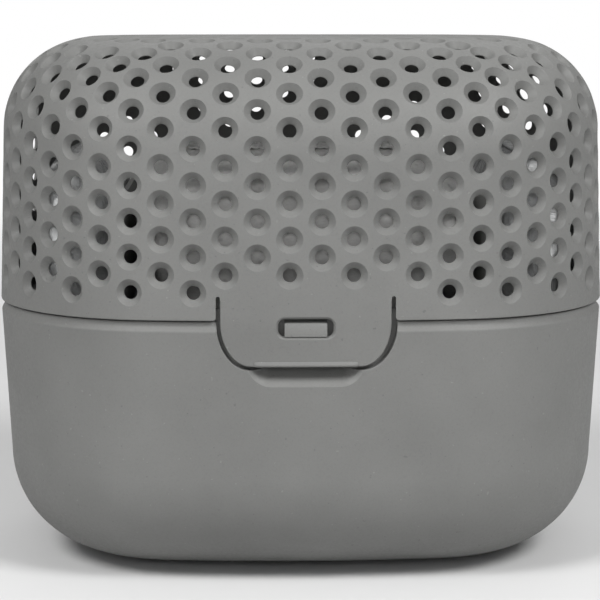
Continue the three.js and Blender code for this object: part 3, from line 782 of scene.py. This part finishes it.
def knuckle_piece(name, x0, x1, section):
    """A hinge knuckle: its side view is a list of Y and Z points, extruded with softened ends, bored for
    the pin."""
    middle = np.mean(section, axis=0)
    soft = KNUCKLE_SOFTENING
    rings = []
    for x, shrink in ((x0, soft), (x0 + soft, 0.0), (x1 - soft, 0.0), (x1, soft)):
        scaled = middle + (section - middle) * (1 - shrink / 6)
        rings.append(np.column_stack([np.full(len(scaled), x), scaled]))
    piece = new_object(name, *loft(rings))
    angle = np.radians(np.arange(0, 360, 12))
    bore = np.column_stack([HINGE_Y + BORE_RADIUS * np.cos(angle), HINGE_Z + BORE_RADIUS * np.sin(angle)])
    ends = [np.column_stack([np.full(len(bore), x), bore]) for x in (x0 - 1, x1 + 1)]
    boolean(piece, "DIFFERENCE", *loft(ends))
    shade(piece, angle=30)
    return piece


def turned(points):
    """The same outline, running anticlockwise in Y and Z."""
    points = np.asarray(points, float)
    y, z = points.T
    area = np.sum(y * np.roll(z, -1) - np.roll(y, -1) * z)
    return points if area > 0 else points[::-1]


def knuckle_sections():
    """Side views of the tub's knuckle, with its bracket below, and of the lid's, with its arm above."""
    root_y = DEPTH / 2 - 3.4
    neck_y = HINGE_Y - KNUCKLE_RADIUS
    tub_section = [
        *arc(HINGE_Y, HINGE_Z, KNUCKLE_RADIUS, KNUCKLE_RADIUS, -20, 200, 22),
        (neck_y, HINGE_Z - 2.4),
        (root_y, HINGE_Z - 2.4),
        (root_y, HINGE_Z - BRACKET_DROP),
    ]
    lid_section_points = [
        *arc(HINGE_Y, HINGE_Z, KNUCKLE_RADIUS, KNUCKLE_RADIUS, 180, 380, 20),
        (HINGE_Y + 1.6, HINGE_Z + 5.2),
        (HINGE_Y - 1.0, HINGE_Z + 7.2),
        (root_y + 1.2, HINGE_Z + ARM_RISE),
        (root_y + 1.2, SEAM_Z + 0.8),
        (neck_y, SEAM_Z + 0.8),
    ]
    return turned(tub_section), turned(lid_section_points)


def make_hinges():
    """The tub's knuckles, and the lid's on both sides of each."""
    tub_side, lid_side = knuckle_sections()
    half = KNUCKLE_WIDTH / 2
    inner = half + KNUCKLE_GAP
    outer = inner + OUTER_KNUCKLE_WIDTH
    tub_pieces = []
    lid_pieces = []
    for side, x in (("left", -HINGE_X), ("right", HINGE_X)):
        tub_pieces.append(knuckle_piece(f"tub_knuckle_{side}", x - half, x + half, tub_side))
        lid_pieces.append(knuckle_piece(f"lid_knuckle_{side}_a", x - outer, x - inner, lid_side))
        lid_pieces.append(knuckle_piece(f"lid_knuckle_{side}_b", x + inner, x + outer, lid_side))
    return tub_pieces, lid_pieces


# Sachets ------------------------------------------------------------------------------------------


# Shares of a sachet's height, and how far its outline is drawn in there
CENTRE_LEVELS = ([0, 0.12, 0.25, 0.4, 0.6, 0.8, 0.92, 1], [15, 10, 5.5, 2, 0, 1.8, 5.5, 11])
SIDE_LEVELS = ([0, 0.15, 0.35, 0.6, 0.8, 0.92, 1], [6, 2.5, 0.5, 0, 1, 3, 7])
SQUARENESS = 4.5
CLOTH_VOXEL = 3.2
CLOTH_PRESSURE = 2.0
CLOTH_STRETCH = -0.04
CLOTH_REACH = 3.0
CLOTH_FRAMES = 20
EDGE_MARGIN = 0.0002
SEAM_RIDGES = 2.6


def pillow(name, node, cuts, levels):
    """A sachet's starting shape: a block that fills its solid, fullest above the middle, with round
    corners."""
    low, high = [np.array(corner) / MM - [0, BODY_Y, 0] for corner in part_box(node)]
    centre = (low + high) / 2
    half = (high - low) / 2
    mesh = bmesh.new()
    bmesh.ops.create_cube(mesh, size=2.0)
    bmesh.ops.subdivide_edges(mesh, edges=mesh.edges[:], cuts=cuts, use_grid_fill=True)
    for vertex in mesh.verts:
        p = np.array(vertex.co)
        drawn_in = np.interp((p[2] + 1) / 2, *levels) + 0.4
        around = np.abs(p[:2]).max()
        length = (abs(p[0]) ** SQUARENESS + abs(p[1]) ** SQUARENESS) ** (1 / SQUARENESS)
        level = p[:2] * (around / length if length > 1e-6 else 1.0)
        q = np.append(level * (half[:2] - drawn_in), p[2] * half[2])
        vertex.co = Vector((centre + q + [0, BODY_Y, 0]) * MM)
    data = bpy.data.meshes.new(name)
    mesh.to_mesh(data)
    mesh.free()
    return place_in_scene(name, data)


def inflate(piece):
    """Runs cloth with pressure on the piece, with no gravity, and keeps every point near its start."""
    bpy.context.view_layer.objects.active = piece
    remesh = piece.modifiers.new("remesh", "REMESH")
    remesh.mode = "VOXEL"
    remesh.voxel_size = CLOTH_VOXEL * MM
    apply_modifiers(piece)
    start = mesh_points(piece.data)
    cloth = piece.modifiers.new("cloth", "CLOTH")
    settings = cloth.settings
    settings.quality = 5
    settings.mass = 0.15
    settings.tension_stiffness = 12
    settings.compression_stiffness = 12
    settings.shear_stiffness = 4
    settings.bending_stiffness = 0.15
    settings.shrink_min = CLOTH_STRETCH
    settings.use_pressure = True
    settings.uniform_pressure_force = CLOTH_PRESSURE
    settings.effector_weights.gravity = 0
    cloth.collision_settings.use_collision = False
    scene = bpy.context.scene
    cloth.point_cache.frame_start = 1
    cloth.point_cache.frame_end = CLOTH_FRAMES
    for number in range(1, CLOTH_FRAMES + 1):
        scene.frame_set(number)
    apply_modifiers(piece)
    move = mesh_points(piece.data) - start
    length = np.linalg.norm(move, axis=1)
    scale = np.minimum(1.0, CLOTH_REACH * MM / np.maximum(length, 1e-9))
    set_points(piece.data, start + move * scale[:, None])
    scene.frame_set(1)


def make_sachet(name, node, cuts, levels, ripple, bulge, overhang=0.0):
    """A sachet with its cloth wrinkles, its front and back swelling past the solid by bulge, and its sides
    hanging over the dividers at the top."""
    piece = pillow(name, node, cuts, levels)
    inflate(piece)
    low, high = [np.array(corner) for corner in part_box(node)]
    points = mesh_points(piece.data)
    centre = (low + high) / 2
    half = (high - low) / 2
    share = (points - centre) / half
    full = np.clip(1 - share[:, 0] ** 4, 0, 1) * np.clip(1 - (share[:, 2] - 0.2) ** 2 * 1.6, 0, 1)
    points[:, 1] += np.sign(share[:, 1]) * np.abs(share[:, 1]) ** 3 * full * bulge * MM
    above = np.clip((points[:, 2] / MM - DIVIDER_TOP_Z - 0.5) / 3, 0, 1)
    points[:, 0] += np.sign(share[:, 0]) * np.abs(share[:, 0]) ** 3 * above * overhang * MM
    x, y, z = (points - centre).T / MM
    wave = np.sin(x * 0.31 + z * 0.12) * np.sin(z * 0.37 - x * 0.14 + y * 0.07)
    wave += 0.5 * np.sin(x * 0.83 - z * 0.55 + 1.0) * np.sin(z * 0.71 + y * 0.2)
    points += (share * [0.4, 1.0, 0.2]) * wave[:, None] * ripple * MM
    reach = np.array([0.6 + overhang, bulge + ripple, 0.0]) * MM
    set_points(piece.data, np.clip(points, low - reach + EDGE_MARGIN, high + reach - EDGE_MARGIN))
    smooth = piece.modifiers.new("smooth", "SUBSURF")
    smooth.levels = smooth.render_levels = 1
    piece.data.shade_smooth()
    return piece


def crimped_seam(name, sachet, half_length, half_width, across):
    """The welded seam of a sachet, folded down flat on its top: a thin crimped strip on the cloth."""
    points = mesh_points(sachet.data)
    centre = (points.min(0) + points.max(0)) / 2
    top = points[:, 2].max()
    columns = 4 * int(half_length)
    rows = 7
    grid = []
    for along in np.linspace(-half_length, half_length, columns):
        ridge = 0.22 * math.sin(along * SEAM_RIDGES)
        for offset in np.linspace(-half_width, half_width, rows):
            step = (along, offset) if across else (offset, along)
            start = Vector((centre[0] + step[0] * MM, centre[1] + step[1] * MM, top + 0.01))
            found, place, _, _ = sachet.ray_cast(start, Vector((0, 0, -1)))
            height = place.z if found else top
            grid.append((start.x, start.y, height + (0.55 + ridge) * MM))
    faces = [
        (c * rows + r, (c + 1) * rows + r, (c + 1) * rows + r + 1, c * rows + r + 1)
        for c in range(columns - 1)
        for r in range(rows - 1)
    ]
    mesh = bpy.data.meshes.new(name)
    mesh.from_pydata(grid, [], faces)
    seam = place_in_scene(name, mesh)
    if not across:
        mesh.flip_normals()
    thickness = seam.modifiers.new("thickness", "SOLIDIFY")
    thickness.thickness = 0.0005
    thickness.offset = 0
    mesh.shade_smooth()
    return seam


# Materials ----------------------------------------------------------------------------------------


class Material:
    """A small builder for a node material."""

    def __init__(self, name):
        self.material = bpy.data.materials.new(name)
        self.material.use_nodes = True
        self.nodes = self.material.node_tree.nodes
        self.links = self.material.node_tree.links
        self.shader = self.nodes["Principled BSDF"]
        self.place = self.add("ShaderNodeTexCoord").outputs["Object"]

    def add(self, kind, **values):
        node = self.nodes.new(kind)
        for key, value in values.items():
            if hasattr(node, key):
                setattr(node, key, value)
            else:
                node.inputs[key.replace("_", " ")].default_value = value
        return node

    def noise(self, scale, detail=3.0, roughness=0.5, stretch=None):
        node = self.add("ShaderNodeTexNoise", Scale=scale, Detail=detail, Roughness=roughness)
        place = self.place
        if stretch:
            mapping = self.add("ShaderNodeMapping")
            mapping.inputs["Scale"].default_value = stretch
            self.links.new(place, mapping.inputs["Vector"])
            place = mapping.outputs["Vector"]
        self.links.new(place, node.inputs["Vector"])
        return node.outputs["Fac"]

    def ramp(self, value, *stops):
        """stops are (position, colour) pairs."""
        node = self.add("ShaderNodeValToRGB")
        elements = node.color_ramp.elements
        while len(elements) < len(stops):
            elements.new(0.5)
        for element, (position, colour) in zip(elements, stops):
            element.position = position
            element.color = (*colour, 1.0)
        self.links.new(value, node.inputs["Fac"])
        return node.outputs["Color"]

    def spread(self, value, low, high, out_low=0.0, out_high=1.0):
        node = self.add("ShaderNodeMapRange")
        for key, number in (("From Min", low), ("From Max", high), ("To Min", out_low), ("To Max", out_high)):
            node.inputs[key].default_value = number
        self.links.new(value, node.inputs["Value"])
        return node.outputs["Result"]

    def mix(self, factor, a, b, blend_type="MIX"):
        node = self.add("ShaderNodeMix", data_type="RGBA", blend_type=blend_type)
        for socket, value in ((node.inputs["Factor"], factor), (node.inputs[6], a), (node.inputs[7], b)):
            if isinstance(value, bpy.types.NodeSocket):
                self.links.new(value, socket)
            else:
                socket.default_value = value if isinstance(value, float) else (*value, 1.0)
        return node.outputs[2]

    def bump(self, height, strength, distance, onto=None):
        node = self.add("ShaderNodeBump", Strength=strength, Distance=distance)
        self.links.new(height, node.inputs["Height"])
        if onto is not None:
            self.links.new(onto, node.inputs["Normal"])
        return node.outputs["Normal"]

    def finish(self, **sockets):
        for key, value in sockets.items():
            socket = self.shader.inputs[key.replace("_", " ")]
            if isinstance(value, bpy.types.NodeSocket):
                self.links.new(value, socket)
            else:
                socket.default_value = value
        return self.material


def moulded_plastic(name, colour, fleck_share=1.0):
    """Matte moulded plastic: soft cloudiness, a fine grain, and scattered dark and pale flecks."""
    m = Material(name)
    dark = tuple(c * 0.93 for c in colour)
    light = tuple(c * 1.06 for c in colour)
    cloud = m.ramp(m.noise(28.0, 3.0, 0.55), (0.3, dark), (0.7, light))
    grain = m.spread(m.noise(1500.0, 3.0, 0.7), 0.25, 0.75, 0.9, 1.1)
    mottled = m.mix(1.0, cloud, m.ramp(grain, (0.0, (0, 0, 0)), (1.0, (1, 1, 1))), "MULTIPLY")
    dark_spots = m.spread(m.noise(760.0, 1.0, 0.4), 0.755, 0.785, 0.0, 0.4 * fleck_share)
    pale_spots = m.spread(m.noise(880.0, 1.0, 0.4, (1.0, 1.03, 0.97)), 0.76, 0.79, 0.0, 0.35 * fleck_share)
    spotted = m.mix(dark_spots, mottled, tuple(c * 0.5 for c in colour))
    spotted = m.mix(pale_spots, spotted, tuple(min(1.0, c * 1.7) for c in colour))
    rough = m.spread(m.noise(900.0, 2.0, 0.5), 0.3, 0.7, 0.52, 0.66)
    skin = m.bump(m.noise(2100.0, 3.0, 0.6), 0.22, 0.00008)
    normal = m.bump(m.noise(190.0, 2.0), 0.06, 0.0002, skin)
    return m.finish(Base_Color=spotted, Roughness=rough, Normal=normal, Specular_IOR_Level=0.35)


def nonwoven(name, colour):
    """Breathable nonwoven sheet: felted fibres under a close lattice of tiny bond points."""
    m = Material(name)
    fibres = m.noise(700.0, 5.0, 0.7, (1.0, 1.0, 2.2))
    base = m.ramp(fibres, (0.3, tuple(c * 0.84 for c in colour)), (0.7, colour))
    cloud = m.ramp(m.noise(60.0, 3.0), (0.3, (0.88, 0.88, 0.88)), (0.7, (1, 1, 1)))
    bonds = m.add("ShaderNodeTexVoronoi", Scale=330.0)
    m.links.new(m.place, bonds.inputs["Vector"])
    dimple = m.spread(bonds.outputs["Distance"], 0.12, 0.3)
    pitted = m.mix(1.0, base, m.ramp(dimple, (0.0, (0.8, 0.8, 0.8)), (1.0, (1, 1, 1))), "MULTIPLY")
    creases = m.bump(m.noise(45.0, 4.0, 0.6), 0.5, 0.003)
    normal = m.bump(dimple, 0.3, 0.0003, m.bump(fibres, 0.5, 0.00015, creases))
    return m.finish(Base_Color=m.mix(1.0, pitted, cloud, "MULTIPLY"), Roughness=0.9, Normal=normal)


def wrinkled_film(name, colour):
    """Glossy film drawn into small creases, with painted shade that darkens the colour in the crease hollows.
    """
    m = Material(name)
    creases = m.add("ShaderNodeTexNoise", Scale=95.0, Detail=4.0, Roughness=0.6, Distortion=1.4)
    m.links.new(m.place, creases.inputs["Vector"])
    # Painted shade: the crease height that drives the bump also darkens the colour to 0.8 of the film's in
    # the hollows
    base = m.ramp(creases.outputs["Fac"], (0.3, tuple(c * 0.8 for c in colour)), (0.7, colour))
    normal = m.bump(creases.outputs["Fac"], 0.9, 0.0022, m.bump(m.noise(420.0, 2.0), 0.3, 0.0004))
    return m.finish(Base_Color=base, Roughness=0.16, Normal=normal)


def drawn_steel(name):
    m = Material(name)
    streaks = m.noise(1500.0, 2.0, 0.5, (0.03, 1.0, 1.0))
    base = m.ramp(streaks, (0.3, (0.42, 0.43, 0.44)), (0.7, (0.62, 0.63, 0.64)))
    return m.finish(Base_Color=base, Metallic=1.0, Roughness=m.spread(streaks, 0.3, 0.7, 0.28, 0.42))


def foot_rubber(name):
    m = Material(name)
    base = m.ramp(m.noise(300.0, 3.0), (0.3, (0.02, 0.02, 0.02)), (0.7, (0.045, 0.045, 0.044)))
    return m.finish(Base_Color=base, Roughness=0.85, Normal=m.bump(m.noise(1500.0), 0.3, 0.0001))


def cover(piece, material):
    piece.data.materials.clear()
    piece.data.materials.append(material)


# Assembly -----------------------------------------------------------------------------------------


def add_piece(piece, body, slot, material, *nodes):
    cover(piece, material)
    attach(piece, body)
    if nodes:
        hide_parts(*nodes)


GREY = moulded_plastic("grey_moulding", (0.156, 0.157, 0.152))
PALE = moulded_plastic("pale_moulding", (0.46, 0.46, 0.45), 0.4)
MAT_SHEET = nonwoven("nonwoven_sheet", (0.78, 0.775, 0.76))
FILM = wrinkled_film("crystal_film", (0.70, 0.71, 0.71))
STEEL = drawn_steel("drawn_steel")
RUBBER = foot_rubber("foot_rubber")

add_piece(make_lid(), "lid", "grey_plastic", GREY, "lid_shell")
add_piece(make_tub(), "base", "grey_plastic", GREY, "base_tub")

tab = make_tab()
cover(tab, GREY)
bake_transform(tab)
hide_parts("latch_tab")

tub_knuckles, lid_knuckles = make_hinges()
for knuckle in tub_knuckles:
    add_piece(knuckle, "base", "grey_plastic", GREY)
for knuckle in lid_knuckles:
    add_piece(knuckle, "lid", "grey_plastic", GREY)

centre_sachet = make_sachet(
    "centre_sachet", "sachet_centre", cuts=20, levels=CENTRE_LEVELS, ripple=0.35, bulge=1.5, overhang=2.6
)
add_piece(centre_sachet, "base", "nonwoven", MAT_SHEET, "sachet_centre")
seam = crimped_seam("centre_seam", centre_sachet, half_length=38, half_width=5, across=True)
add_piece(seam, "base", "nonwoven", MAT_SHEET)
for side in ("left", "right"):
    sachet = make_sachet(
        f"film_sachet_{side}", f"sachet_{side}", cuts=16, levels=SIDE_LEVELS, ripple=0.6, bulge=1.0
    )
    add_piece(sachet, "base", "film", FILM, f"sachet_{side}")
    seam = crimped_seam(f"film_seam_{side}", sachet, half_length=36, half_width=2.5, across=False)
    add_piece(seam, "base", "film", FILM)

SLOT_MATERIALS = {"pale_plastic": PALE, "steel": STEEL, "rubber": RUBBER}
for part in frame["record"]["subparts"]:
    if part["material_slot"] in SLOT_MATERIALS:
        node = frame["nodes"][part["node"]]
        cover(node, SLOT_MATERIALS[part["material_slot"]])
        if part["material_slot"] != "steel":
            bevel = node.modifiers.new("soft_edges", "BEVEL")
            bevel.width = 0.0003
            bevel.segments = 2
            bevel.limit_method = "ANGLE"


# Studio -------------------------------------------------------------------------------------------


FLOOR_SOLID = 0.35
FLOOR_END = 1.15
LIGHT_TARGET = Vector((0, 0, 0.09))


def add_floor():
    """A pale floor that fades into the white backdrop."""
    bpy.ops.mesh.primitive_plane_add(size=2 * FLOOR_END, location=(0, 0, -0.0002))
    floor = bpy.context.object
    floor.name = "floor"
    m = Material("floor_paper")
    material = m.finish(Base_Color=(0.62, 0.62, 0.62, 1.0), Roughness=0.9)
    distance = m.add("ShaderNodeVectorMath", operation="LENGTH")
    m.links.new(m.place, distance.inputs[0])
    clear = m.add("ShaderNodeBsdfTransparent")
    fade = m.add("ShaderNodeMixShader")
    m.links.new(m.spread(distance.outputs["Value"], FLOOR_SOLID, FLOOR_END), fade.inputs["Fac"])
    m.links.new(m.shader.outputs["BSDF"], fade.inputs[1])
    m.links.new(clear.outputs["BSDF"], fade.inputs[2])
    m.links.new(fade.outputs["Shader"], m.nodes["Material Output"].inputs["Surface"])
    cover(floor, material)


def add_area(name, place, size, power):
    """A soft light that faces the middle of the body."""
    light = bpy.data.lights.new(name, "AREA")
    light.shape = "RECTANGLE"
    light.size, light.size_y = size
    light.energy = power
    lamp = place_in_scene(name, light)
    lamp.location = place
    lamp.rotation_euler = (LIGHT_TARGET - Vector(place)).to_track_quat("-Z", "Y").to_euler()


def add_world(overhead, horizon):
    """Soft light that is stronger overhead than at the horizon, behind a plain white backdrop."""
    world = bpy.data.worlds.new("studio")
    bpy.context.scene.world = world
    world.use_nodes = True
    nodes = world.node_tree.nodes
    links = world.node_tree.links
    place = nodes.new("ShaderNodeTexCoord")
    split = nodes.new("ShaderNodeSeparateXYZ")
    links.new(place.outputs["Generated"], split.inputs["Vector"])
    lighting = nodes.new("ShaderNodeMapRange")
    lighting.inputs["To Min"].default_value = horizon
    lighting.inputs["To Max"].default_value = overhead
    links.new(split.outputs["Z"], lighting.inputs["Value"])
    path = nodes.new("ShaderNodeLightPath")
    strength = nodes.new("ShaderNodeMix")
    strength.inputs[3].default_value = 1.0
    links.new(path.outputs["Is Camera Ray"], strength.inputs[0])
    links.new(lighting.outputs["Result"], strength.inputs[2])
    background = nodes["Background"]
    background.inputs["Color"].default_value = (1, 1, 1, 1)
    links.new(strength.outputs[0], background.inputs["Strength"])


def add_camera():
    """A long lens at lid height, a little to the left of the middle, looking slightly down."""
    distance = 0.688
    azimuth = 0.0243
    height = 0.1841
    pitch = 0.1483
    camera_data = bpy.data.cameras.new("camera")
    camera_data.lens = 121.7
    camera_data.sensor_width = 36.0
    camera = place_in_scene("camera", camera_data)
    camera.location = (-distance * math.sin(azimuth), BODY_Y * MM - distance * math.cos(azimuth), height)
    camera.rotation_euler = (math.pi / 2 - pitch, 0, -azimuth)
    bpy.context.scene.camera = camera


add_floor()
add_world(0.36, 0.30)
add_area("key_left", (-0.70, -0.72, 1.04), (0.45, 0.45), 12.9)
add_area("key_right", (0.74, -0.72, 1.00), (0.45, 0.45), 14.2)
add_area("front", (-0.03, -1.1, 0.40), (0.3, 0.3), 1.7)
add_area("back", (0.1, 1.05, 0.95), (1.2, 0.6), 3.0)
add_camera()
bpy.context.scene.view_settings.view_transform = "Standard"

bpy.context.view_layer.update()
